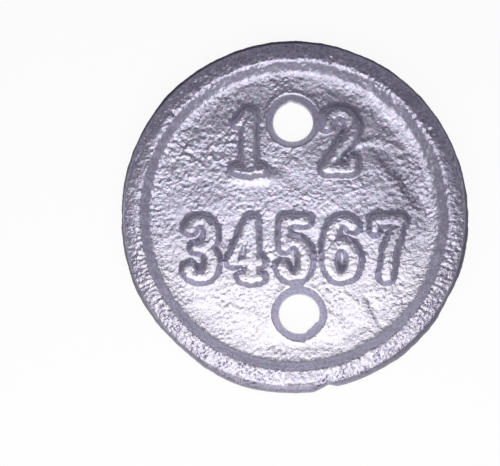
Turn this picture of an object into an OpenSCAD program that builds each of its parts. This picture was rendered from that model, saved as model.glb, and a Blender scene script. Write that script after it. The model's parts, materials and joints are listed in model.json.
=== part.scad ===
// Round cast route marker: a flat-backed disc with a raised rim, a sunk field and two countersunk
// fixing holes. The disc lies on its back: the back face is z = 0, the face looks up +Z, and the
// line of the fixing holes runs along Y. Millimetres and degrees.

/* [Disc] */
// Diameter of the disc at its back edge, where the mould's draft makes it widest
disc_d = 70; // [60:0.5:90]
// Thickness of the sunk field
field_t = 3.5; // [2.5:0.1:4.5]
// Draft of the outer side, from vertical
side_draft = 8; // [2:0.5:12]
// Height of the small bevel round the back edge
back_bevel = 0.3; // [0.1:0.05:0.6]

/* [Rim] */
// Height of the rim's crest above the field
rim_rise = 2; // [1.4:0.1:2.8]
// Radius of the broad crest, which falls away towards the outside
crest_r = 10.5; // [7:0.5:14]
// Fall of the crest at its inner end, from horizontal
crest_start = 3; // [1:1:6]
// Fall of the crest at its outer end, from horizontal
crest_end = 18; // [12:1:24]
// Radius of the shoulder between the crest and the outer side
shoulder_r = 0.5; // [0.3:0.1:0.9]
// Radius of the crest's inner edge
inner_edge_r = 0.9; // [0.6:0.1:1.5]
// Steepness of the rim's inner slope, from horizontal
inner_slope = 48; // [40:1:60]
// Radius of the fillet where the inner slope runs out into the field
foot_r = 2.1; // [1.2:0.1:2.4]

/* [Fixing holes] */
// Distance between the centres of the two holes
hole_spacing = 38.6; // [32:0.2:42]
// Shift of the pair to the right of the disc's centre
hole_shift = 0.4; // [0:0.1:1.5]
// Shift of the pair below the disc's centre
hole_drop = 0.5; // [0:0.1:1.5]
// Diameter of the straight part of each hole
hole_d = 8; // [5:0.1:9]
// Width of the countersink around each hole, from the straight wall to the lip
sink_w = 1.4; // [0.6:0.1:1.8]
// Steepness of the countersink, from horizontal
sink_slope = 45; // [35:1:50]

/* [Broken gate] */
// Direction of the gate's middle, seen on the face, counter-clockwise from +X
gate_at = 262; // [200:1:320]
// Arc of the disc's edge that the gate covers
gate_arc = 28; // [12:1:40]
// Reach of the broken gate past the back edge
gate_proud = 0.45; // [0.2:0.05:1]
// Height of the gate, up from the back face
gate_h = 2.8; // [1.5:0.1:3.4]
// Lean of the gate's broken face, from vertical
gate_lean = 11; // [5:1:14]
// Radius of the tear beside the gate, where it was snapped off
tear_r = 1.6; // [0.8:0.1:2.5]
// Depth of the tear into the back edge
tear_depth = 0.5; // [0.2:0.05:0.8]

/* [Dressed edge] */
// Direction of the flat that was filed on the edge, counter-clockwise from +X
flat_at = 225; // [150:1:240]
// Depth of that flat into the back edge
flat_depth = 0.35; // [0.1:0.05:0.6]

/* [Hidden] */
$fn = 180;
// Spare length that a cutter runs past the metal at each end
over = 1;
// Points along each curved stretch of the rim's section
arc_steps = 10;

disc_r = disc_d / 2;
top_z = field_t + rim_rise;
side_tilt = 90 - side_draft;

// Run and fall of an arc of radius r while its surface tilts from angle a to angle b
function run(r, a, b) = r * (sin(b) - sin(a));
function fall(r, a, b) = r * (cos(a) - cos(b));

// Outward unit normal of a surface that tilts by angle a
function normal(a) = [sin(a), cos(a)];

// Convex arc that leaves point p with tilt a and ends with tilt b
function round_over(p, r, a, b) =
    [for (i = [0 : arc_steps]) p + r * (normal(a + (b - a) * i / arc_steps) - normal(a))];

// Concave arc that reaches point p with tilt b after starting with tilt a
function hollow(p, r, a, b) =
    [for (i = [0 : arc_steps]) p - r * (normal(a + (b - a) * i / arc_steps) - normal(b))];

// Top of the outer side, where the shoulder runs into the draft
side_top_z = top_z - fall(crest_r, crest_start, crest_end) - fall(shoulder_r, crest_end, side_tilt);
// Inner end of the crest, set back from the back edge by the draft, the shoulder and the crest
crest_x = disc_r - side_top_z * tan(side_draft)
    - run(shoulder_r, crest_end, side_tilt) - run(crest_r, crest_start, crest_end);

crest = round_over([crest_x, top_z], crest_r, crest_start, crest_end);
shoulder = round_over(crest[arc_steps], shoulder_r, crest_end, side_tilt);
inner_edge = round_over([crest_x, top_z], inner_edge_r, crest_start, -inner_slope);

// The inner slope is straight between the crest's edge and the top of the foot fillet
slope_top = inner_edge[arc_steps];
foot_top_z = field_t + fall(foot_r, 0, inner_slope);
foot_top = [slope_top[0] - (slope_top[1] - foot_top_z) / tan(inner_slope), foot_top_z];
foot_end = [foot_top[0] - foot_r * sin(inner_slope), field_t];
foot = hollow(foot_end, foot_r, -inner_slope, 0);

sink_depth = sink_w * tan(sink_slope);
sink_d = hole_d + 2 * sink_w;

// End of the gate where the tear is
tear_at = gate_at + gate_arc / 2;

// Half section of the disc, from the back face's centre round to the field's centre
module disc_section() {
    edge_r = disc_r - back_bevel * tan(side_draft);
    outside = concat([[0, 0], [edge_r - back_bevel, 0], [edge_r, back_bevel]],
        [for (i = [arc_steps : -1 : 0]) shoulder[i]],
        [for (i = [arc_steps - 1 : -1 : 0]) crest[i]]);
    inside = concat([for (i = [1 : arc_steps]) inner_edge[i]], foot, [[0, field_t]]);
    polygon(concat(outside, inside));
}

// Sector of the plane, from angle a to angle b, long enough to pass the disc's edge
module sector(a, b) {
    reach = disc_d;
    polygon([[0, 0], reach * [cos(a), sin(a)], reach * [cos(b), sin(b)]]);
}

// Stump of the gate through which the metal was poured, with a slanting broken face
module gate_stump() {
    gate_r = disc_r + gate_proud;
    intersection() {
        cylinder(h = gate_h, r1 = gate_r, r2 = gate_r - gate_h * tan(gate_lean));
        linear_extrude(gate_h) sector(gate_at - gate_arc / 2, gate_at + gate_arc / 2);
    }
}

// Scoop torn out of the edge beside the gate
module gate_tear() {
    rotate(tear_at)
        translate([disc_r + tear_r - tear_depth, tear_r, -over])
            cylinder(h = top_z + 2 * over, r = tear_r);
}

// Metal that the file took off the edge
module filed_flat() {
    rotate(flat_at)
        translate([disc_r - flat_depth, -disc_r / 2, -over])
            cube([disc_r, disc_r, top_z + 2 * over]);
}

// Cutter of one fixing hole: the straight hole, and the countersink below the field
module fixing_hole() {
    translate([0, 0, -over]) cylinder(h = top_z + 2 * over, d = hole_d);
    translate([0, 0, field_t - sink_depth])
        cylinder(h = sink_depth + over, d1 = hole_d, d2 = sink_d + 2 * over / tan(sink_slope));
}

// The whole casting
module marker_disc() {
    color([0.66, 0.64, 0.71])
        difference() {
            union() {
                rotate_extrude() disc_section();
                gate_stump();
            }
            for (side = [-1, 1])
                translate([hole_shift, side * hole_spacing / 2 - hole_drop, 0]) fixing_hole();
            gate_tear();
            filed_flat();
        }
}

marker_disc();
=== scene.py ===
# Looks of the cast route marker: one round casting with a raised rim, a sunk field, two fixing holes
# and plain raised numbers. Its surface is modelled in millimetres and made into a mesh in metres.
# Places on the face are (u, v): u along the rows of numbers and v up the face, from the disc's centre.
# Directions on the face are in degrees, counter-clockwise from +u.
import json
import math

import bpy
import numpy as np
from mathutils import Matrix, Vector
from mathutils.geometry import delaunay_2d_cdt


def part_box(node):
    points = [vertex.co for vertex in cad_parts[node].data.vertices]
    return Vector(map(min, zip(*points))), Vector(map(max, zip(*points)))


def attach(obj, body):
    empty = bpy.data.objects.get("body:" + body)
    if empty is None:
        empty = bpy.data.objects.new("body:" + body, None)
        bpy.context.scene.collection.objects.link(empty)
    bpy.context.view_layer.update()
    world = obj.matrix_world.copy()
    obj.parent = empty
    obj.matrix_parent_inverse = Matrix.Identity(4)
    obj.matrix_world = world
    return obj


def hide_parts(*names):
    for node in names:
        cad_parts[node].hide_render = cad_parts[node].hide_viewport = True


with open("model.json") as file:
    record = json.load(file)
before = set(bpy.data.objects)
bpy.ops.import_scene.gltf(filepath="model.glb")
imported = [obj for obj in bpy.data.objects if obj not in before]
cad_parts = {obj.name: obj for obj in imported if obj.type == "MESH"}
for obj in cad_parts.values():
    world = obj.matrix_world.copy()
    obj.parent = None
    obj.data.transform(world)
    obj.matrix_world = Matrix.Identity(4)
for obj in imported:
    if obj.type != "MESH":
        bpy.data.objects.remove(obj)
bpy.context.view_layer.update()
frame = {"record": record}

MM = 0.001
disc_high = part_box("marker_disc")[1]
mounts = {m["name"]: m for m in frame["record"]["mounts"]}

# The rows of numbers lean against the line of the fixing holes
ROW_LEAN = math.radians(1.8)

# Section of the casting
TOP_Z = disc_high[2] / MM
RIM_RISE = 2.0
FIELD_Z = TOP_Z - RIM_RISE
SIDE_DRAFT = math.radians(8)
BACK_BEVEL = 0.3
BACK_R = disc_high[0] / MM
CREST_R = 10.5
CREST_TILTS = (3, 18)
SHOULDER_R = 0.5
INNER_EDGE_R = 0.9
INNER_SLOPE = 48
FOOT_R = 2.1

# Fixing holes
HOLE_R = mounts["upper_hole"]["dims"]["r_mm"]
SINK_DEPTH = 1.4
SINK_R = HOLE_R + SINK_DEPTH
LIP_ROUNDING = 0.12
LIP_BEAD = 0.07
LIP_BEAD_W = 0.45
LIP_BEAD_OUT = 0.25
LIP_REACH = 1.5
SINK_SKIN = 0.05
HOLE_EDGE = 0.15

# Fineness of the mesh
FACE_STEP = 0.232
BACK_STEP = 1.0
EDGE_COUNT = 900
HOLE_COUNT = 110
SIDE_RINGS = 9
WALL_RINGS = 6

# Brings the noise to about -1 to 1
NOISE_GAIN = 1.6
# Stands for a distance past everything that is drawn
FAR = 99.0


def turned(u, v, angle):
    """The point or points (u, v) turned by an angle about the disc's centre."""
    c, s = math.cos(angle), math.sin(angle)
    return u * c - v * s, u * s + v * c


def on_face(place):
    """A place in the frame, in metres, as (u, v)."""
    return turned(place[0] / MM, place[1] / MM, ROW_LEAN)


UPPER_HOLE = on_face(mounts["upper_hole"]["pos_m"])
LOWER_HOLE = on_face(mounts["lower_hole"]["pos_m"])
HOLES = (("upper", UPPER_HOLE), ("lower", LOWER_HOLE))


def polar(u, v):
    """Radius and direction of points on the face."""
    return np.hypot(u, v), np.degrees(np.arctan2(v, u)) % 360


def smooth(x, low, high):
    """0 below low, 1 above high and an S-curve between them."""
    t = np.clip((x - low) / (high - low), 0, 1)
    return t * t * (3 - 2 * t)


def plateau(x, start, end):
    """1 between the S-curves of its start and its end, 0 outside them."""
    return smooth(x, *start) * (1 - smooth(x, *end))


def soft_ramp(x, low, high):
    """0 below low, then a bend into a straight slope that reaches 1 at high."""
    t = np.clip((x - low) / (high - low), 0, 1)
    bend = 0.35
    straight = np.where(t < bend, t * t / (2 * bend), t - bend / 2)
    return straight / (1 - bend / 2)


def hump(x, at, wide):
    """A smooth hump, 1 high."""
    return np.exp(-(((x - at) / wide) ** 2))


def arc_hump(angle, at, wide):
    """A smooth hump along the disc's edge, all in degrees."""
    return np.exp(-((((angle - at + 180) % 360 - 180) / wide) ** 2))


def arc_humps(angle, humps, base=0.0):
    """A base with humps along the disc's edge: the height, direction and width of each."""
    for height, at, wide in humps:
        base = base + height * arc_hump(angle, at, wide)
    return base


def spot(u, v, at, wide, tall=None):
    """A smooth spot on the face."""
    return np.exp(-(((u - at[0]) / wide) ** 2) - ((v - at[1]) / (tall or wide)) ** 2)


def lattice_turns(i, j, seed):
    """A fixed random angle for each lattice point, from its place scrambled with large primes."""
    n = (i * 73856093) ^ (j * 19349663) ^ (seed * 83492791)
    n = (n ^ (n >> 13)) * 1274126177 & 0x7FFFFFFF
    n = (n ^ (n >> 16)) * 668265263 & 0x7FFFFFFF
    return (n >> 8) / float(0x7FFFFF) * 2 * math.pi


def noise(x, y, seed, wrap=None):
    """Smooth noise of about -1 to 1, one hill or hollow to each unit. With wrap it repeats in x."""
    i, j = np.floor(x).astype(np.int64), np.floor(y).astype(np.int64)
    fx, fy = x - i, y - j
    sx, sy = fx * fx * (3 - 2 * fx), fy * fy * (3 - 2 * fy)

    def corner(di, dj):
        column = (i + di) % wrap if wrap else i + di
        turn = lattice_turns(column, j + dj, seed)
        return np.cos(turn) * (fx - di) + np.sin(turn) * (fy - dj)

    low = corner(0, 0) * (1 - sx) + corner(1, 0) * sx
    high = corner(0, 1) * (1 - sx) + corner(1, 1) * sx
    return NOISE_GAIN * (low * (1 - sy) + high * sy)


def rough(u, v, layers, base=0.0):
    """A base with layers of noise on it: the height, the size of a hill and the seed of each."""
    for height, size, seed in layers:
        base = base + height * noise(u / size, v / size, seed)
    return base


def soft_least(a, b, width):
    """The lower of two heights, rounded where they cross."""
    h = np.clip(0.5 + 0.5 * (b - a) / width, 0, 1)
    return b + (a - b) * h - width * h * (1 - h)


def on_segment(x, y, ax, ay, bx, by):
    """Where on a segment, from 0 to 1, the nearest point lies, and its distance."""
    dx, dy = bx - ax, by - ay
    t = np.clip(((x - ax) * dx + (y - ay) * dy) / (dx * dx + dy * dy), 0, 1)
    return t, np.hypot(x - ax - t * dx, y - ay - t * dy)


def polyline_distance(u, v, points):
    """Distance from a line through points on the face."""
    near = np.full(u.shape, FAR)
    for start, end in zip(points, points[1:]):
        near = np.minimum(near, on_segment(u, v, *start, *end)[1])
    return near


# The rim's section

def tilt_arc(start, radius, tilts, steps=8):
    """Points of a section from start on, while its surface tilts from one angle to the other. A
    negative radius curves the other way."""
    t = np.radians(np.linspace(*tilts, steps + 1)[1:])
    a = math.radians(tilts[0])
    return np.stack([start[0] + radius * (np.sin(t) - math.sin(a)),
                     start[1] + radius * (np.cos(t) - math.cos(a))], axis=1)


def rim_section():
    """Radius and height of the top surface, from the field out to the outer side."""
    foot = tilt_arc((0, FIELD_Z), -FOOT_R, (0, -INNER_SLOPE))
    edge_rise = INNER_EDGE_R * (1 - math.cos(math.radians(INNER_SLOPE)))
    crest_dip = INNER_EDGE_R * (1 - math.cos(math.radians(CREST_TILTS[0])))
    climb = TOP_Z - edge_rise - foot[-1][1]
    slope_top = (foot[-1][0] + climb / math.tan(math.radians(INNER_SLOPE)), TOP_Z - edge_rise)
    edge = tilt_arc(slope_top, INNER_EDGE_R, (-INNER_SLOPE, CREST_TILTS[0]))
    crest = tilt_arc((edge[-1][0], TOP_Z - crest_dip), CREST_R, CREST_TILTS)
    shoulder = tilt_arc(crest[-1], SHOULDER_R, (CREST_TILTS[1], 90 - math.degrees(SIDE_DRAFT)))
    points = np.vstack([[(0, FIELD_Z)], foot, [slope_top], edge, crest, shoulder])
    side_r = BACK_R - (points[-1][1] - BACK_BEVEL) * math.tan(SIDE_DRAFT)
    points[:, 0] += side_r - points[-1][0]
    return points[:, 0], points[:, 1]


SECTION_R, SECTION_Z = rim_section()
FOOT_AT, SHOULDER_AT, SHOULDER_Z = SECTION_R[0], SECTION_R[-1], SECTION_Z[-1]
CREST_AT = SECTION_R[np.argmax(SECTION_Z)]

# The outer side runs a little out of round, with low bulges and dips. Humps are given as height,
# direction and width.
OVAL_MEAN = 0.14
OVAL = 0.23
OVAL_AT = math.radians(102)
OFF_ROUND = 0.09
OFF_ROUND_AT = math.radians(61)
BULGES = ((-0.1, 70, 6), (0.2, 136, 9), (-0.18, 178, 8), (0.2, 206, 7), (0.25, 240, 5), (-0.15, 280, 3),
          (0.2, 308, 6), (0.15, 320, 5), (-0.14, 331, 4), (0.14, 343, 4), (0.12, 351, 5))
# Its waves: how far they reach, how long they are and the radius at which they are drawn
SLOW_WAVE, SLOW_WAVE_L = 0.07, 2.2
FINE_WAVE, FINE_WAVE_L = 0.05, 0.8
EDGE_WAVE_R = 34
# The broken gate, which leans out upwards, the tear beside it and the filed flat
GATE_ENDS = ((241, 246), (276, 279))
GATE_PROUD = 0.3
GATE_KNOB = (252, 6)
GATE_KNOB_PROUD = 0.25
GATE_TAPER = 0.15
LEAN_Z = (1.0, 4.0)
LEAN_OUT = ((0.66, 258, 23), (0.15, 300, 40))
TEAR = (281.5, 1.9)
TEAR_DEPTH = 0.6
FLAT_DEPTH = 0.25
FLAT_AT = math.radians(226)
FLAT_REACH = 0.4


def edge_shift(angle, z):
    """How far the outer side stands out of the plain cone in a direction and at a height."""
    a = np.radians(angle)
    shift = OVAL_MEAN + OVAL * np.cos(2 * (a - OVAL_AT)) + OFF_ROUND * np.cos(a - OFF_ROUND_AT)
    shift = arc_humps(angle, BULGES, shift)
    high_up = smooth(z, *LEAN_Z)
    gate = GATE_PROUD * plateau(angle, *GATE_ENDS) + GATE_KNOB_PROUD * arc_hump(angle, *GATE_KNOB)
    shift += (1 - GATE_TAPER * high_up) * gate
    shift += high_up * arc_humps(angle, LEAN_OUT)
    shift -= TEAR_DEPTH * arc_hump(angle, *TEAR)
    reach = BACK_R - z * math.tan(SIDE_DRAFT)
    flat = (BACK_R - FLAT_DEPTH) / np.cos(np.clip(a - FLAT_AT, -FLAT_REACH, FLAT_REACH)) - reach
    shift = np.where(flat < shift, flat, shift)
    x, y = EDGE_WAVE_R * np.cos(a), EDGE_WAVE_R * np.sin(a)
    shift += SLOW_WAVE * noise(x / SLOW_WAVE_L, y / SLOW_WAVE_L, 3)
    shift += FINE_WAVE * noise(x / FINE_WAVE_L, y / FINE_WAVE_L + z, 4)
    return shift


# Raised numbers
CAP_H = 12.5
THICK = 0.92
THIN = 0.55
RELIEF = 1.3
WALL_W = 1.4
CROWN = 0.1
CROWN_W = 0.9
TOP_ROW_V = 14.75
MIDDLE_ROW_V = -6.98
TOP_ROW = (("1", -9.0), ("2", 9.0))
MIDDLE_ROW = (("3", -18.6), ("4", -9.6), ("5", 0.0), ("6", 9.4), ("7", 18.8))
FOOT_Y = THIN
HEAD_Y = CAP_H - THIN
# A number is drawn this far to the sides of its middle, and past its foot and its head
DRAWN_ASIDE, DRAWN_PAST = 6.5, 3
# Layers of noise are given as height, size and seed
WORN_EDGES = ((0.17, 1.6, 31), (0.14, 0.7, 32))


def stroke(points, thickness):
    """Segments of one stroke: two ends and their half widths."""
    if np.isscalar(thickness):
        thickness = [thickness] * len(points)
    return [(*points[k], thickness[k], *points[k + 1], thickness[k + 1]) for k in range(len(points) - 1)]


def bowl(centre, reach, tilts, steps=14):
    """A stroke along an ellipse, thick where it runs upright and thin where it runs level."""
    turns = np.radians(np.linspace(*tilts, steps))
    points = [(centre[0] + reach[0] * math.cos(t), centre[1] + reach[1] * math.sin(t)) for t in turns]
    return stroke(points, [THIN + (THICK - THIN) * abs(math.cos(t)) for t in turns])


def serif(x, y, reach):
    """A flat slab across the end of a stem."""
    return stroke([(x - reach, y), (x + reach, y)], THIN)


def numeral(mark):
    """Segments of one numeral, about the middle of its foot."""
    if mark == "1":
        flag = stroke([(-0.1, HEAD_Y), (-2.2, 9.9)], [THIN, 0.45])
        return stroke([(0, FOOT_Y), (0, HEAD_Y - 0.4)], THICK) + serif(0, FOOT_Y, 2.5) + flag
    if mark == "2":
        hook = bowl((0.1, 8.9), (2.7, HEAD_Y - 8.9), (164, -28))
        leg = stroke([hook[-1][3:5], (-2.3, 1.2)], [THICK, THIN])
        tail = stroke([(2.6, FOOT_Y), (2.8, 2.3)], [THIN, 0.42])
        return hook + leg + stroke([(-2.5, FOOT_Y), (2.6, FOOT_Y)], THIN + 0.1) + tail
    if mark == "3":
        upper = bowl((-0.1, 9.2), (2.2, HEAD_Y - 9.2), (152, -90))
        lower = bowl((-0.1, 3.6), (2.5, 3.6 - FOOT_Y), (90, -152))
        return upper + lower + stroke([(-0.1, 6.5), (-0.9, 6.5)], THIN)
    if mark == "4":
        stem = stroke([(1.1, FOOT_Y), (1.1, HEAD_Y - 0.3)], THICK)
        slant = stroke([(0.9, HEAD_Y - 0.2), (-2.7, 3.9)], THIN + 0.08)
        return stem + slant + stroke([(-2.7, 3.7), (2.8, 3.7)], THIN) + serif(1.1, FOOT_Y, 1.7)
    if mark == "5":
        back = stroke([(-1.8, HEAD_Y - 0.2), (-1.9, 7.0)], THIN + 0.12)
        flag = stroke([(-1.8, HEAD_Y - 0.05), (2.3, HEAD_Y - 0.05)], THIN + 0.1)
        return back + flag + bowl((-0.1, 4.15), (2.5, 4.15 - FOOT_Y), (132, -152), 18)
    if mark == "6":
        ring = bowl((0.1, 3.9), (2.4, 3.9 - FOOT_Y), (0, 360), 22)
        return ring + bowl((0.5, 6.4), (2.9, HEAD_Y - 6.4), (52, 200), 12)
    bar = stroke([(-2.5, HEAD_Y), (2.5, HEAD_Y)], THIN + 0.1)
    leg = stroke([(2.4, HEAD_Y - 0.2), (0.3, 6.0), (-0.5, 0.9)], [THIN, THICK - 0.1, THICK])
    return bar + leg + stroke([(-2.6, HEAD_Y), (-2.7, 9.9)], [THIN, 0.45])


def outline_distance(u, v):
    """Distance from the numbers' flat tops, negative on them, up to a few millimetres away."""
    near = np.full(u.shape, FAR)
    rows = [(mark, at, TOP_ROW_V) for mark, at in TOP_ROW]
    rows += [(mark, at, MIDDLE_ROW_V) for mark, at in MIDDLE_ROW]
    for mark, middle, row_v in rows:
        x, y = u - middle, v - row_v + CAP_H / 2
        in_rows = abs(y - CAP_H / 2) < CAP_H / 2 + DRAWN_PAST
        inside = np.nonzero((abs(x) < DRAWN_ASIDE) & in_rows)[0]
        x, y = x[inside], y[inside]
        best = near[inside]
        for ax, ay, aw, bx, by, bw in numeral(mark):
            t, away = on_segment(x, y, ax, ay, bx, by)
            best = np.minimum(best, away - (aw + (bw - aw) * t))
        near[inside] = best
    return near


def number_height(u, v):
    """Height of the numbers, with worn edges, steep sides and slightly crowned tops."""
    gap = outline_distance(u, v) + rough(u, v, WORN_EDGES)
    return RELIEF * (1 - smooth(gap, 0, WALL_W)) + CROWN * np.clip(-gap, 0, CROWN_W)


# Where two streams of metal met and froze: a low ridge and a curved seam right of the upper numbers,
# and a groove below the middle row
RIDGE = ((12.0, 14.1), (16.2, 14.8), (19.4, 14.2), (21.5, 12.8))
SEAM = ((18.0, 11.0), (21.0, 8.0), (22.6, 5.3), (25.0, 2.2))
GROOVE = ((14.5, -16.5), (15.7, -19.3), (16.7, -21.7), (18.9, -22.7))
# Each with its shift, height and width. The seam has a swell to its left and below it.
FLOW_LINES = ((RIDGE, (0, 0), 0.08, 0.55), (SEAM, (0, 0), -0.11, 1.5), (SEAM, (-1.2, -1.0), 0.1, 1.0),
              (GROOVE, (0, 0), -0.12, 0.6))
FLOW_WANDER, FLOW_WANDER_L = 0.5, 2.5
# Low apron below the first number
APRON_H = 0.45
APRON_AT = (-8.3, 7.5)
APRON_SIZE = (3.8, 1.25)


def flow_marks(u, v):
    """Heights of the ridge, the seam, its swell, the groove and the apron."""
    wander = FLOW_WANDER * noise(u / FLOW_WANDER_L, v / FLOW_WANDER_L, 71)
    marks = 0.0
    for line, (du, dv), height, wide in FLOW_LINES:
        marks = marks + height * hump(polyline_distance(u - du, v - dv, line) + wander, 0, wide)
    return marks + APRON_H * spot(u, v, APRON_AT, *APRON_SIZE)


# Wear of the fixing holes: a nick in the upper wall, a burr in the lower wall and a dent in its lip
UPPER_NICK = (97, 8)
NICK_DEPTH = 0.3
BURR_ENDS = ((-70, -60), (-30, -22))
BURR = 0.38
LIP_DENT = (-82, 5)
LIP_DENT_DEPTH = 0.3
WALL_WAVE = 0.05


def hole_r(which, turn):
    """Radius of a hole's wall in a direction."""
    if which == "upper":
        wave = WALL_WAVE * np.cos(np.radians(3 * turn + 40))
        return HOLE_R + NICK_DEPTH * arc_hump(turn, *UPPER_NICK) + wave
    return HOLE_R - BURR * plateau(turn, *BURR_ENDS) + WALL_WAVE * np.cos(np.radians(2 * turn))


def sink_r(which, turn):
    """Radius of a hole's lip in a direction."""
    if which == "upper":
        return SINK_R - 0.12 + 0.15 * np.sin(np.radians(turn)) + 0.08 * np.cos(np.radians(3 * turn))
    return SINK_R + LIP_DENT_DEPTH * arc_hump(turn, *LIP_DENT) + 0.07 * np.cos(np.radians(4 * turn + 20))


# The rim's ring sits a little low on the disc and is narrower across than up the face. Its foot lies
# further in than the plain section has it, and both lean out or in at places.
CREST_OFF = (0.12, -0.21)
FOOT_OFF = (-0.32, -0.6)
FOOT_OUT = -0.32
RING_OVAL = 0.16
CREST_LEANS = ((0.08, 50, 25), (0.14, 135, 28))
FOOT_LEANS = ((0.15, 225, 25), (0.25, 5, 25))
RING_WANDER = ((0.1, 7, 11), (0.1, 2.5, 12))
RING_WANDER_AT = (30, 2.2)
RAGGED_FOOT = ((0.2, 0.9, 13),)
# The rim stands higher at the upper right, where the field rises towards it too
RIM_LIFT = ((0.26, 60, 42),)
FIELD_LIFT = 0.06
FIELD_LIFTS = ((0.42, 47, 24), (0.03, 90, 25))
# Radii between which the field rises, the slope starts and ends, and the rim starts. The foot's shape
# and the side's are drawn in from further in.
FIELD_RISE = (25.4, 29.4)
SLOPE_ENDS = ((29.0, 29.8), (31.0, 31.6))
RIM_START = (29.5, 31.5)
FOOT_FROM = 20
SIDE_FROM = 31.5
# Bend between the field and the foot, wider at the upper right
FOOT_BEND = 0.3
FOOT_BEND_WIDER = ((0.35, 47, 30),)
LEAST_BEND = 0.01
# Slow swells of the hand-made pattern, and turns of the finer noise against the rows of numbers
SWELLS = ((0.07, 9, 21), (0.06, 4, 22))
FINE_SWELL = ((0.035, 2, 23),)
TURN_1, TURN_2 = 0.55, -0.85


def plain_height(u, v, r, angle):
    """Height of the rim and the field before the marks and the skin."""
    wander = rough(u, v, RING_WANDER)
    ragged = rough(u, v, RAGGED_FOOT) * hump(r, FOOT_AT + 0.3, 0.8)
    ragged = ragged * (0.6 + 0.4 * smooth(-v, -8, 4))
    along_u, along_v = np.cos(np.radians(angle)), np.sin(np.radians(angle))
    at_crest = smooth(r, FOOT_AT - 1, CREST_AT + 0.6)
    at_foot = smooth(r, FOOT_FROM, FOOT_AT) * (1 - at_crest)
    at_crest = at_crest * (1 - smooth(r, CREST_AT + 0.5, SHOULDER_AT - 0.5))
    at_side = smooth(r, SIDE_FROM, SHOULDER_AT)
    section_at = r - edge_shift(angle, SHOULDER_Z) * at_side - wander * hump(r, *RING_WANDER_AT) - ragged
    section_at -= at_crest * (CREST_OFF[0] * along_u + CREST_OFF[1] * along_v)
    section_at -= at_crest * arc_humps(angle, CREST_LEANS)
    section_at -= at_foot * (FOOT_OFF[0] * along_u + FOOT_OFF[1] * along_v + FOOT_OUT)
    section_at += at_foot * arc_humps(angle, FOOT_LEANS)
    section_at += (at_crest + at_foot) * RING_OVAL * (along_u ** 2 - along_v ** 2)
    rim = np.interp(section_at, SECTION_R, SECTION_Z)
    rim = FIELD_Z + (rim - FIELD_Z) * arc_humps(angle, RIM_LIFT, 1)
    field = FIELD_Z + arc_humps(angle, FIELD_LIFTS, FIELD_LIFT) * soft_ramp(r, *FIELD_RISE)
    bend = LEAST_BEND + arc_humps(angle, FOOT_BEND_WIDER, FOOT_BEND) * smooth(r, *FIELD_RISE)
    return -soft_least(-rim, -field, bend)


# Marks on the rim: the crest worn low, the shelf above the broken gate, nicks and ribs
CREST_WEAR = 0.08
CREST_WEAR_AT = (150, 35)
SHELF_ENDS = ((264, 269), (276, 279.5))
SHELF_FROM = (31.2, 32)
SHELF_RISE = (31.6, 33.6)
SHELF_H = 0.28
NICKS = ((0.22, 76.7, 0.8), (0.2, 31.7, 0.8), (0.1, 115, 0.8), (0.12, 140, 0.8))
NICK_LEAN = 0.5
RIBS = ((1.0, 207, 20), (1.3, 340, 17), (0.45, 285, 45))
RIB_COUNT = 305
RIB_H = 0.14
RIB_L = 2.4
RIB_R = 33
RIB_END = 33.8


def rib_pattern(r, angle):
    """Noise of the ribs, drawn out across the rim."""
    arc = np.radians(angle) * RIB_R
    return noise(angle / 360 * RIB_COUNT, r / RIB_L, 41, RIB_COUNT) + 0.5 * noise(arc / 0.5, r / 0.9, 42)


def mark_rim(z, r, angle, shelf, on_rim):
    """Adds the gate's shelf, the nicks and the ribs to the heights z."""
    z += SHELF_H * shelf * smooth(r, *SHELF_RISE) * (1 - smooth(r, SHOULDER_AT - 0.7, SHOULDER_AT))
    z -= arc_humps(angle + NICK_LEAN * (r - CREST_AT), NICKS) * hump(r, CREST_AT + 0.2, 0.9)
    ribs = arc_humps(angle, RIBS) * rib_pattern(r, angle)
    z += RIB_H * ribs * on_rim * (1 - smooth(r, RIB_END, SHOULDER_AT))


# Casting skin: fine everywhere, hammered at the upper left and a little at the right
SKIN = 0.092
DENTS = 0.08
DENTS_AT = ((-19, 13), 9, 8)
LOW_DENTS = 0.04
LOW_DENTS_AT = ((17, 6), 12, 12)
# The skin is calmer in one spot and coarser on the slope at the upper right
CALM_SPOT = ((14, 17), 9)
COARSE_SLOPE = (47, 22)


def cast_skin(u, v):
    """Noise of the skin, in two turned layers."""
    (u1, v1), (u2, v2) = turned(u, v, TURN_1), turned(u, v, TURN_2)
    return noise(u1 / 0.64, v1 / 0.8, 51) + 0.7 * noise(u2 / 0.38, v2 / 0.38, 52)


def add_skin(z, u, v, r, angle, skin, shelf, on_rim):
    """Adds the skin and the dents to the heights z."""
    on_slope = plateau(r, *SLOPE_ENDS)
    at_edge = hump(r, FOOT_AT + 0.2, 1.1) * (1 - 0.7 * smooth(v, -5, 10))
    steep = 1.1 * smooth(v, -5, 15) - 0.3 + 1.2 * arc_hump(angle, *COARSE_SLOPE)
    coarse = 1 + steep * on_slope + 0.8 * at_edge
    coarse = coarse * (1 - 0.85 * shelf)
    patch = 0.55 + 0.45 * noise(u / 5, v / 5, 53)
    calmer = (1 - 0.3 * smooth(-v, 15, 22)) * (1 - 0.3 * spot(u, v, *CALM_SPOT))
    rim_skin = 1.3 + 1.6 * arc_hump(angle, 270, 55) - 0.6 * hump(r, CREST_AT, 0.8) * smooth(v, -5, 10)
    z += (SKIN * skin * patch) * coarse * calmer * (1 + on_rim * (rim_skin - 1))
    u1, v1 = turned(u, v, TURN_1)
    dents = noise(u / 1.1 + 0.3 * v, v / 1.2, 61) + 0.65 * noise(u1 / 0.65, v1 / 0.65, 62)
    z += DENTS * dents * spot(u, v, *DENTS_AT) * coarse * (1 - on_rim)
    z += LOW_DENTS * noise(u / 1.2, v / 1.0, 63) * spot(u, v, *LOW_DENTS_AT) * coarse * (1 - on_rim)


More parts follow.
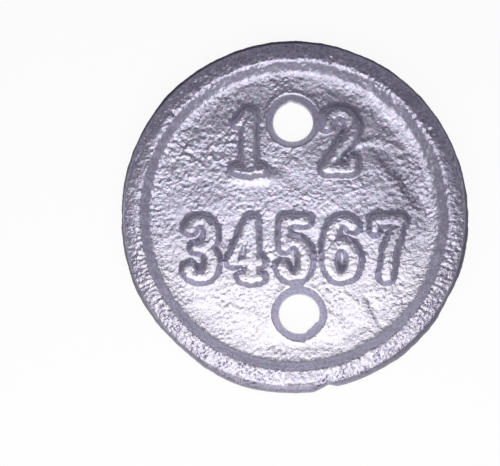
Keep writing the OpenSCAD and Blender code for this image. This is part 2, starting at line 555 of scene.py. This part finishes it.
def sink_holes(z, u, v, skin):
    """The heights z with the countersinks cut, and a faint bead round their lips."""
    for which, (cu, cv) in HOLES:
        away = np.hypot(u - cu, v - cv)
        turn = (np.degrees(np.arctan2(v - cv, u - cu)) + 180) % 360 - 180
        wall, lip = hole_r(which, turn), sink_r(which, turn)
        z += LIP_BEAD * hump(away, lip + LIP_BEAD_OUT, LIP_BEAD_W)
        sink = FIELD_Z - SINK_DEPTH + (away - wall) * (SINK_DEPTH / (lip - wall)) + SINK_SKIN * skin
        z = np.where(away < lip + LIP_REACH, soft_least(z, sink, LIP_ROUNDING), z)
    return z


def face_height(u, v):
    """Height of the face above the back, at points (u, v)."""
    r, angle = polar(u, v)
    on_rim = smooth(r, *RIM_START)
    shelf = plateau(angle, *SHELF_ENDS) * smooth(r, *SHELF_FROM)
    skin = cast_skin(u, v)
    z = plain_height(u, v, r, angle)
    z += rough(u, v, SWELLS) + rough(*turned(u, v, TURN_2), FINE_SWELL)
    worn_low = plateau(r, (FOOT_AT, CREST_AT - 0.6), (CREST_AT - 0.4, CREST_AT + 0.4))
    z -= CREST_WEAR * arc_hump(angle, *CREST_WEAR_AT) * worn_low
    z += number_height(u, v)
    z += flow_marks(u, v)
    mark_rim(z, r, angle, shelf, on_rim)
    add_skin(z, u, v, r, angle, skin, shelf, on_rim)
    return sink_holes(z, u, v, skin)


# The closed mesh

def ring_of(count):
    """Directions evenly round a circle."""
    return np.arange(count) * 360 / count


def edge_loop(z):
    """The outer side's outline at a height, or at one height for each direction."""
    angle = ring_of(EDGE_COUNT)
    reach = BACK_R - (z - BACK_BEVEL) * math.tan(SIDE_DRAFT) + edge_shift(angle, z)
    return np.stack([reach * np.cos(np.radians(angle)), reach * np.sin(np.radians(angle))], axis=1)


def hole_loop(which, centre, grow=0.0):
    """The outline of a hole's wall, or one that lies further out."""
    turn = ring_of(HOLE_COUNT)
    reach = hole_r(which, (turn + 180) % 360 - 180) + grow
    return np.stack([centre[0] + reach * np.cos(np.radians(turn)),
                     centre[1] + reach * np.sin(np.radians(turn))], axis=1)


def hex_grid(step, reach):
    """Points of a hexagonal grid over a square."""
    row_step = step * math.sqrt(3) / 2
    rows = np.arange(-reach, reach, row_step)
    line = np.arange(-reach, reach, step)
    shifted = np.repeat((np.arange(len(rows)) % 2)[:, None] * step / 2, len(line), axis=1)
    u = (line[None, :] + shifted).ravel()
    return np.stack([u, np.repeat(rows, len(line))], axis=1)


def reach_to(points, centre, loop):
    """Distances of points from a centre, and of a loop round it in the same directions."""
    away = points - centre
    turn = np.degrees(np.arctan2(away[:, 1], away[:, 0])) % 360
    return np.hypot(*away.T), np.interp(turn, ring_of(len(loop)), np.hypot(*(loop - centre).T), period=360)


# Least gap between the loops and the grid, as a share of its step
GRID_GAP = 0.62
CENTRE = (0, 0)
# Places of the two hole loops among a sheet's points
HOLE_PARTS = [slice(EDGE_COUNT + k * HOLE_COUNT, EDGE_COUNT + (k + 1) * HOLE_COUNT) for k in range(2)]


def filled(outer, inner, step):
    """A triangulated sheet between an outer loop and two hole loops: the points, loops first, and
    the triangles."""
    grid = hex_grid(step, BACK_R)
    r, limit = reach_to(grid, CENTRE, outer)
    keep = r < limit - GRID_GAP * step
    for loop, (_, centre) in zip(inner, HOLES):
        away, wall = reach_to(grid, centre, loop)
        keep &= away > wall + GRID_GAP * step
    points = np.vstack([outer, *inner, grid[keep]])
    edges = []
    start = 0
    for loop in (outer, *inner):
        count = len(loop)
        edges += [(start + k, start + (k + 1) % count) for k in range(count)]
        start += count
    made = delaunay_2d_cdt([Vector(p) for p in points], edges, [], 0, 1e-6, False)
    if len(made[0]) != len(points):
        raise RuntimeError("the sheet's points were merged")
    faces = np.array(made[2])
    r, limit = reach_to(points[faces].mean(axis=1), CENTRE, outer)
    in_hole = np.zeros(len(faces), bool)
    for part in HOLE_PARTS:
        in_hole |= ((faces >= part.start) & (faces < part.stop)).all(axis=1)
    return points, faces[(r < limit) & ~in_hole]


class Casting:
    """Collects the vertices and triangles of the one closed mesh."""

    def __init__(self):
        self.points, self.faces, self.count = [], [], 0

    def add(self, uv, z):
        """Adds vertices and returns their numbers."""
        self.points.append(np.column_stack([uv, np.broadcast_to(z, len(uv))]))
        first = self.count
        self.count += len(uv)
        return np.arange(first, self.count)

    def band(self, upper, lower, turned_in=False):
        """Triangles between two rings with the same number of vertices."""
        a, b = upper, np.roll(upper, -1)
        c, d = lower, np.roll(lower, -1)
        triangles = np.vstack([np.column_stack([a, c, b]), np.column_stack([b, c, d])])
        self.faces.append(triangles[:, ::-1] if turned_in else triangles)

    def outer_side(self, ring, top):
        """Rings from the face's edge down to the back's bevel. Returns the last one."""
        for k in range(1, SIDE_RINGS + 1):
            z = top + (BACK_BEVEL - top) * (k / SIDE_RINGS)
            lower = self.add(edge_loop(z), z)
            self.band(ring, lower)
            ring = lower
        return ring

    def hole_wall(self, which, centre, ring, top):
        """Rings from the countersink down to the back's broken edge. Returns the last one."""
        for k in range(1, WALL_RINGS + 1):
            z = top + (HOLE_EDGE - top) * k / WALL_RINGS
            lower = self.add(hole_loop(which, centre), z)
            self.band(ring, lower, True)
            ring = lower
        return ring


def cast_surface():
    """Vertices and triangles of the whole casting, in (u, v, z) millimetres."""
    casting = Casting()
    inner = [hole_loop(which, centre) for which, centre in HOLES]
    points, faces = filled(edge_loop(SHOULDER_Z), inner, FACE_STEP)
    heights = face_height(points[:, 0], points[:, 1])
    face = casting.add(points, heights)
    casting.faces.append(face[faces])
    ring = casting.outer_side(face[:EDGE_COUNT], heights[:EDGE_COUNT])
    walls = [casting.hole_wall(which, centre, face[part], heights[part])
             for (which, centre), part in zip(HOLES, HOLE_PARTS)]

    back_outer = edge_loop(BACK_BEVEL) * (1 - BACK_BEVEL / BACK_R)
    back_inner = [hole_loop(which, centre, HOLE_EDGE) for which, centre in HOLES]
    points, faces = filled(back_outer, back_inner, BACK_STEP)
    back = casting.add(points, 0)
    casting.faces.append(back[faces][:, ::-1])
    casting.band(ring, back[:EDGE_COUNT])
    for wall, part in zip(walls, HOLE_PARTS):
        casting.band(wall, back[part], True)
    return np.vstack(casting.points), np.vstack(casting.faces)


# Values that the material reads at the vertices
# Darker spots on the field
DARK_FIELD_SPOTS = ((1.3, (21, 2), 7, 11), (0.7, (9, 19), 9, 7), (0.55, (-22, -3), 9, 9))
# Painted shade on the slope at the right, the left and the top, on the rim's foot at the top and on the
# crest at the upper right, where it dims their highlights
SLOPE_SHADE = ((1.15, 5, 28), (1.0, 163, 42), (0.3, 75, 30))
SLOPE_MOTTLE = ((1.2, 0.6, 82), (0.9, 1.6, 85))
FOOT_SHADE_AT = (90, 42)
CREST_SHADE_AT = ((30, 30), (40, 17))
UP_STEP = 0.2
BLUR_ROUNDS = 8
# Heights of a normal's tip between which a surface turns from steep to level
LEVEL_ENDS = (0.82, 0.95)
# The clean stretch of the rim above the broken gate, and where it starts
CLEAN_ENDS = ((258, 265), (275, 278))
CLEAN_FROM = (31.6, 32.6)


def hollows(points, faces):
    """For each vertex, how far its neighbours stand above it, smoothed."""
    edges = np.vstack([faces[:, [0, 1]], faces[:, [1, 2]], faces[:, [2, 0]]])
    count = np.bincount(edges[:, 0], minlength=len(points))
    z = points[:, 2]
    blurred = z
    for _ in range(BLUR_ROUNDS):
        blurred = np.bincount(edges[:, 0], blurred[edges[:, 1]], minlength=len(points)) / count
    return blurred - z


def wall_shade(u, v):
    """Painted shade in the numbers' walls, strongest in the upper row and on the walls that face up, away
    from the lamp.
    """
    rise = outline_distance(u, v + UP_STEP) - outline_distance(u, v - UP_STEP)
    facing_up = np.clip(rise / (2 * UP_STEP), -1, 1)
    return (0.4 + 0.4 * smooth(v, 4, 9)) * hump(outline_distance(u, v), 0.6, 0.6) * (1 + 0.9 * facing_up)


def stains_and_shade(u, v):
    """How much the metal is darkened, from 0 to 1: in spots on the field and round the upper hole, and as
    painted shade along the seam, on the rim's foot at the top, on parts of the crest and the slope, and in
    the numbers' walls."""
    r, angle = polar(u, v)
    field = sum(deep * spot(u, v, at, wide, tall) for deep, at, wide, tall in DARK_FIELD_SPOTS)
    field = field * (1 - smooth(r, FOOT_AT, CREST_AT))
    rim_at, crest_at = CREST_SHADE_AT
    # Painted shade on the crest and slope at the upper right, dimming their highlights
    crest = 0.3 * arc_hump(angle, *rim_at) * smooth(r, FOOT_AT, FOOT_AT + 1)
    crest = crest + 0.8 * arc_hump(angle, *crest_at) * hump(r, CREST_AT + 0.3, 0.6)
    # Painted shade along the seam
    seam = 0.65 * hump(polyline_distance(u, v, SEAM), 0, 1.8)
    # Painted shade on the rim's foot at the top, dimming its highlight
    foot = 0.9 * hump(r, FOOT_AT - 0.2, 1.1) * arc_hump(angle, *FOOT_SHADE_AT)
    # Painted shade on the slope at the right, the left and the top
    slope = plateau(r, (FOOT_AT + 0.3, FOOT_AT + 1.3), (CREST_AT - 0.7, CREST_AT))
    slope = slope * arc_humps(angle, SLOPE_SHADE) * rough(u, v, SLOPE_MOTTLE, 0.8)
    patch = 0.75 + 0.5 * noise(u / 3, v / 3, 81)
    stain_and_shade = (field + crest + seam + foot) * patch + wall_shade(u, v) + slope
    # Darker round the upper hole's countersink
    away = np.hypot(u - UPPER_HOLE[0], v - UPPER_HOLE[1])
    return np.clip(stain_and_shade + 0.7 * hump(away, HOLE_R + 0.7, 1.2), 0, 1)


def surface_values(points, faces, level):
    """The values by name. The back, at z = 0, keeps none of them. level is 1 where the face is level."""
    u, v, z = points.T
    r, angle = polar(u, v)
    off_back = z > 0
    # Painted shade in the hollows of the field and round the numbers, twice as strong in the upper half,
    # away from the lamp
    hollow = hollows(points, faces) * (1 - smooth(r, 26.5, FOOT_AT)) * (1 + smooth(v, -2, 10)) * off_back
    # The outer side's dark, matt as-cast skin, and painted shade: it reaches further in on the upper half
    # and is weaker at the bottom
    side = smooth(r, SHOULDER_AT - 0.2 - 0.5 * smooth(v, -20, 0), SHOULDER_AT + 0.05)
    side = side * (1 - 0.6 * arc_hump(angle, 262, 60)) * off_back
    rim = smooth(r, FOOT_AT + 0.5, CREST_AT) * off_back
    clean = plateau(angle, *CLEAN_ENDS) * smooth(r, *CLEAN_FROM)
    low_rim = rim * (0.25 + 0.75 * smooth(-v, -8, 8)) * (1 - 0.85 * clean)
    low_rim = low_rim * np.clip(1 + noise(u / 2.2, v / 2.2, 83), 0.2, 1.6) * (0.15 + 0.85 * level)
    corner = hump(r, FOOT_AT + 0.2, 1.3) * (1 - 0.7 * smooth(v, -5, 10))
    corner -= 0.8 * hump(r, CREST_AT + 0.1, 0.6) * arc_hump(angle, 145, 35)
    # The rim's dark mottle is weaker at the left, so that side reads lighter: painted light
    return {"hollow": hollow, "side": side, "rim": rim * (1 - 0.6 * arc_hump(angle, 158, 30)),
            # painted highlight: the lower level face, where the lamp's highlight falls, is tinted less
            # violet
            "low_rim": low_rim, "painted_highlight": smooth(-v, 0, 14) * (1 - side) * level,
            "corner": corner * off_back, "stain_and_shade": stains_and_shade(u, v) * off_back}


def make_casting():
    """The casting as one piece, with the values for its material."""
    points, faces = cast_surface()
    x, y = turned(points[:, 0], points[:, 1], -ROW_LEAN)
    mesh = bpy.data.meshes.new("marker_casting")
    mesh.from_pydata(np.column_stack([x, y, points[:, 2]]) * MM, [], faces.tolist())
    level = smooth(np.array([normal.vector.z for normal in mesh.vertex_normals]), *LEVEL_ENDS)
    for name, values in surface_values(points, faces, level).items():
        mesh.attributes.new(name, "FLOAT", "POINT").data.foreach_set("value", values)
    mesh.shade_smooth()
    mesh.update()
    piece = bpy.data.objects.new("marker_casting", mesh)
    bpy.context.scene.collection.objects.link(piece)
    mesh.materials.append(cast_metal())
    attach(piece, "root")
    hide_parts("marker_disc")


class Graph:
    """Makes and links the nodes of a material or the world."""

    def __init__(self, owner):
        owner.use_nodes = True
        self.nodes, self.links = owner.node_tree.nodes, owner.node_tree.links

    def feed(self, socket, value):
        """Links another node's output to a socket, or sets the socket to a number or a colour."""
        if isinstance(value, bpy.types.NodeSocket):
            self.links.new(value, socket)
        else:
            socket.default_value = (*value, 1) if isinstance(value, tuple) else value

    def grain(self, place, scale, detail, rough=0.5):
        """Noise texture."""
        node = self.nodes.new("ShaderNodeTexNoise")
        for name, value in (("Vector", place), ("Scale", scale), ("Detail", detail), ("Roughness", rough)):
            self.feed(node.inputs[name], value)
        return node.outputs["Fac"]

    def mapped(self, value, low, high, to_low=0, to_high=1):
        """A value's range mapped to another one."""
        node = self.nodes.new("ShaderNodeMapRange")
        for name, number in (("From Min", low), ("From Max", high), ("To Min", to_low), ("To Max", to_high)):
            node.inputs[name].default_value = number
        self.feed(node.inputs["Value"], value)
        return node.outputs["Result"]

    def mixed(self, factor, first, second):
        """A colour between two others."""
        node = self.nodes.new("ShaderNodeMix")
        node.data_type = "RGBA"
        sockets = {s.identifier: s for s in node.inputs}
        for name, value in (("A_Color", first), ("B_Color", second), ("Factor_Float", factor)):
            self.feed(sockets[name], value)
        return next(s for s in node.outputs if s.identifier == "Result_Color")

    def stored(self, name):
        """A value stored at the mesh's vertices."""
        node = self.nodes.new("ShaderNodeAttribute")
        node.attribute_name = name
        return node.outputs["Fac"]

    def combined(self, operation, *values):
        """The result of arithmetic on numbers."""
        node = self.nodes.new("ShaderNodeMath")
        node.operation = operation
        for socket, value in zip(node.inputs, values):
            self.feed(socket, value)
        return node.outputs[0]


# Colours of the metal, of what dulls it, and of the painted highlight and painted shade
METAL_COOL = (0.605, 0.622, 0.72)
METAL_WARM = (0.675, 0.625, 0.75)
# Less violet grey for the painted highlight on the lower level face
PAINTED_HIGHLIGHT_METAL = (0.655, 0.635, 0.67)
PORES = (0.40, 0.37, 0.48)
MOTTLE = (0.34, 0.31, 0.43)
SPECKS = (0.17, 0.15, 0.24)
# Painted shade in the hollows
HOLLOW_SHADE = (0.30, 0.28, 0.37)
# Darker spots, and painted shade on the seam, rim and walls
STAIN_AND_SHADE = (0.32, 0.3, 0.38)
# Dark as-cast skin of the outer side, also painted shade
SIDE_SKIN_AND_SHADE = (0.075, 0.065, 0.1)
METAL_SHARE = 0.8
SPECULAR = 0.1
POLISH = (0.21, 0.36)
BUMP_H = 0.07 * MM
# Grains: hills to the metre, detail and roughness
TINT_GRAIN = (800, 3)
PORE_GRAIN = (3000, 2, 0.6)
MOTTLE_GRAIN = (1700, 3, 0.65)
SPECK_GRAIN = (2000, 2, 0.7)
POLISH_GRAIN = (1400, 3)
BUMP_GRAIN = (2600, 2, 0.6)


def metal_tint(graph, place, side, rim):
    """Violet-grey metal with pores all over, a mottled rim, less mottled at the left as painted light, and
    specks on its lower part.
    A painted highlight turns the lower level face less violet. Painted shade darkens the hollows, the seam,
    parts of the rim and the numbers' walls; the field has darker spots and the side a dark skin that is also
    painted shade."""
    tint = graph.mixed(graph.mapped(graph.grain(place, *TINT_GRAIN), 0.38, 0.62), METAL_COOL, METAL_WARM)
    # Painted highlight: the lower level face turns less violet
    tint = graph.mixed(graph.mapped(graph.stored("painted_highlight"), 0, 1, 0, 0.8), tint, PAINTED_HIGHLIGHT_METAL)
    tint = graph.mixed(graph.mapped(graph.grain(place, *PORE_GRAIN), 0.52, 0.66, 0, 0.6), tint, PORES)
    mottle = graph.mapped(graph.grain(place, *MOTTLE_GRAIN), 0.47, 0.6, 0, 0.65)
    # Mottled rim, weaker at the left as painted light
    tint = graph.mixed(graph.combined("MULTIPLY", mottle, rim), tint, MOTTLE)
    specks = graph.mapped(graph.grain(place, *SPECK_GRAIN), 0.53, 0.6, 0, 0.85)
    tint = graph.mixed(graph.combined("MULTIPLY", specks, graph.stored("low_rim")), tint, SPECKS)
    # Painted shade in the hollows
    tint = graph.mixed(graph.mapped(graph.stored("hollow"), 0.02, 0.12, 0, 0.25), tint, HOLLOW_SHADE)
    # Darker spots and painted shade
    tint = graph.mixed(graph.mapped(graph.stored("stain_and_shade"), 0, 1, 0, 0.65), tint, STAIN_AND_SHADE)
    # Dark side skin, partly painted shade
    return graph.mixed(side, tint, SIDE_SKIN_AND_SHADE)


def cast_metal():
    """Dull violet-grey cast metal with a fine uneven polish and a grainy surface."""
    material = bpy.data.materials.new("cast_metal_skin")
    graph = Graph(material)
    shader = graph.nodes["Principled BSDF"]
    place = graph.nodes.new("ShaderNodeTexCoord").outputs["Object"]
    side, rim, corner = graph.stored("side"), graph.stored("rim"), graph.stored("corner")
    graph.feed(shader.inputs["Base Color"], metal_tint(graph, place, side, rim))
    graph.feed(shader.inputs["Metallic"], graph.mapped(side, 0, 1, METAL_SHARE, 0))
    shader.inputs["Specular IOR Level"].default_value = SPECULAR

    polish = graph.mapped(graph.grain(place, *POLISH_GRAIN), 0.3, 0.7, *POLISH)
    for values, duller in ((rim, 0.02), (corner, 0.03), (side, 0.4)):
        polish = graph.combined("MULTIPLY_ADD", values, duller, polish)
    graph.feed(shader.inputs["Roughness"], polish)

    bump = graph.nodes.new("ShaderNodeBump")
    bump.inputs["Strength"].default_value = 1.0
    bump.inputs["Distance"].default_value = BUMP_H
    coarser = graph.combined("MULTIPLY_ADD", graph.stored("low_rim"), 0.7, 1.0)
    coarser = graph.combined("MULTIPLY_ADD", corner, 1.0, coarser)
    height = graph.combined("MULTIPLY", graph.grain(place, *BUMP_GRAIN), coarser)
    graph.feed(bump.inputs["Height"], height)
    graph.feed(shader.inputs["Normal"], bump.outputs["Normal"])
    return material


# The stage: a white floor under the disc
FLOOR_REACH = 3.0
FLOOR_COLOUR = (0.95, 0.95, 0.95)
FLOOR_GLOW = 0.93


def floor_white():
    """White that keeps a shadow, and looks nearly pure white to the camera and in the metal."""
    material = bpy.data.materials.new("floor_white")
    graph = Graph(material)
    shader = graph.nodes["Principled BSDF"]
    shader.inputs["Base Color"].default_value = (*FLOOR_COLOUR, 1)
    shader.inputs["Roughness"].default_value = 1.0
    shader.inputs["Specular IOR Level"].default_value = 0.0
    white = graph.nodes.new("ShaderNodeEmission")
    white.inputs["Strength"].default_value = 1.0
    path = graph.nodes.new("ShaderNodeLightPath")
    seen = path.outputs["Is Camera Ray"]
    for ray in ("Is Glossy Ray", "Is Transmission Ray"):
        seen = graph.combined("MAXIMUM", seen, path.outputs[ray])
    mix = graph.nodes.new("ShaderNodeMixShader")
    graph.feed(mix.inputs["Fac"], graph.combined("MULTIPLY", seen, FLOOR_GLOW))
    graph.feed(mix.inputs[1], shader.outputs[0])
    graph.feed(mix.inputs[2], white.outputs[0])
    graph.feed(graph.nodes["Material Output"].inputs["Surface"], mix.outputs[0])
    return material


def make_floor():
    """A white floor that keeps the disc's shadow."""
    mesh = bpy.data.meshes.new("floor")
    r = FLOOR_REACH
    mesh.from_pydata([(-r, -r, 0), (r, -r, 0), (r, r, 0), (-r, r, 0)], [], [(0, 1, 2, 3)])
    floor = bpy.data.objects.new("floor", mesh)
    bpy.context.scene.collection.objects.link(floor)
    mesh.materials.append(floor_white())


# The photograph's view: from a little below straight above, about half a metre away. The disc's centre
# lies right of the picture's and above it, in pixels. PIXEL is a pixel's size on the disc.
PIXEL = 0.2011 * MM
FRAME_W = 500
CAMERA_FALL = math.radians(6)
CAMERA_AWAY = 0.47
DISC_RIGHT = 44
DISC_ABOVE = 16.8
SENSOR = 36
CLIP_START = 0.01


def make_camera():
    """The camera, with the rows of numbers level in its picture."""
    right = Vector((*turned(1, 0, -ROW_LEAN), 0))
    up = Vector((*turned(0, 1, -ROW_LEAN), 0))
    toward = Vector((0, -math.sin(CAMERA_FALL), math.cos(CAMERA_FALL)))
    data = bpy.data.cameras.new("camera")
    data.sensor_width = SENSOR
    data.lens = SENSOR * CAMERA_AWAY / (FRAME_W * PIXEL)
    data.clip_start = CLIP_START
    camera = bpy.data.objects.new("camera", data)
    bpy.context.scene.collection.objects.link(camera)
    place = toward * CAMERA_AWAY
    target = -right * DISC_RIGHT * PIXEL - up * DISC_ABOVE * PIXEL
    back = (place - target).normalized()
    side = up.cross(back).normalized()
    top = back.cross(side)
    camera.matrix_world = Matrix.Translation(place) @ Matrix((side, top, back)).transposed().to_4x4()
    bpy.context.scene.camera = camera


# The light: one broad lamp near the camera
KEY_PLACE = (-0.014, -0.096, 0.136)
KEY_SIZE = (0.232, 0.228)
KEY_LEVEL = 0.65
# The room is dim above the disc and brighter towards its walls, most of all beyond the picture's top
ROOM_ABOVE = (0.086, 0.077, 0.114)
WALLS_DIM = (0.31, 0.31, 0.34)
WALLS_BRIGHT = (0.78, 0.78, 0.83)
WALLS_END, CEILING_START = 0.1, 0.7
BRIGHT_SIDE = (0.3, 0.95, 0)
STRAIGHT_UP = (0, 0, 1)


def area_lamp(name, place, size, level):
    """A soft oval panel, parallel to the disc, that lights a white surface there to the given level."""
    data = bpy.data.lights.new(name, "AREA")
    data.shape = "ELLIPSE"
    data.size, data.size_y = size
    place = Vector(place)
    data.energy = level * (math.pi * place.length_squared / place.z) ** 2
    lamp = bpy.data.objects.new(name, data)
    lamp.visible_camera = False
    bpy.context.scene.collection.objects.link(lamp)
    lamp.location = place


def make_light():
    """A broad soft lamp below the camera and a dim grey room."""
    area_lamp("key_lamp", KEY_PLACE, KEY_SIZE, KEY_LEVEL)
    world = bpy.data.worlds.new("studio")
    bpy.context.scene.world = world
    graph = Graph(world)
    direction = graph.nodes.new("ShaderNodeTexCoord").outputs["Generated"]

    def along(axis, low, high):
        dot = graph.nodes.new("ShaderNodeVectorMath")
        dot.operation = "DOT_PRODUCT"
        dot.inputs[1].default_value = axis
        graph.feed(dot.inputs[0], direction)
        return graph.mapped(dot.outputs["Value"], low, high)

    walls = graph.mixed(along(BRIGHT_SIDE, -1, 1), WALLS_DIM, WALLS_BRIGHT)
    room = graph.mixed(along(STRAIGHT_UP, WALLS_END, CEILING_START), walls, ROOM_ABOVE)
    graph.feed(graph.nodes["Background"].inputs["Color"], room)


make_casting()
make_floor()
make_camera()
make_light()
bpy.context.scene.view_settings.view_transform = "Standard"
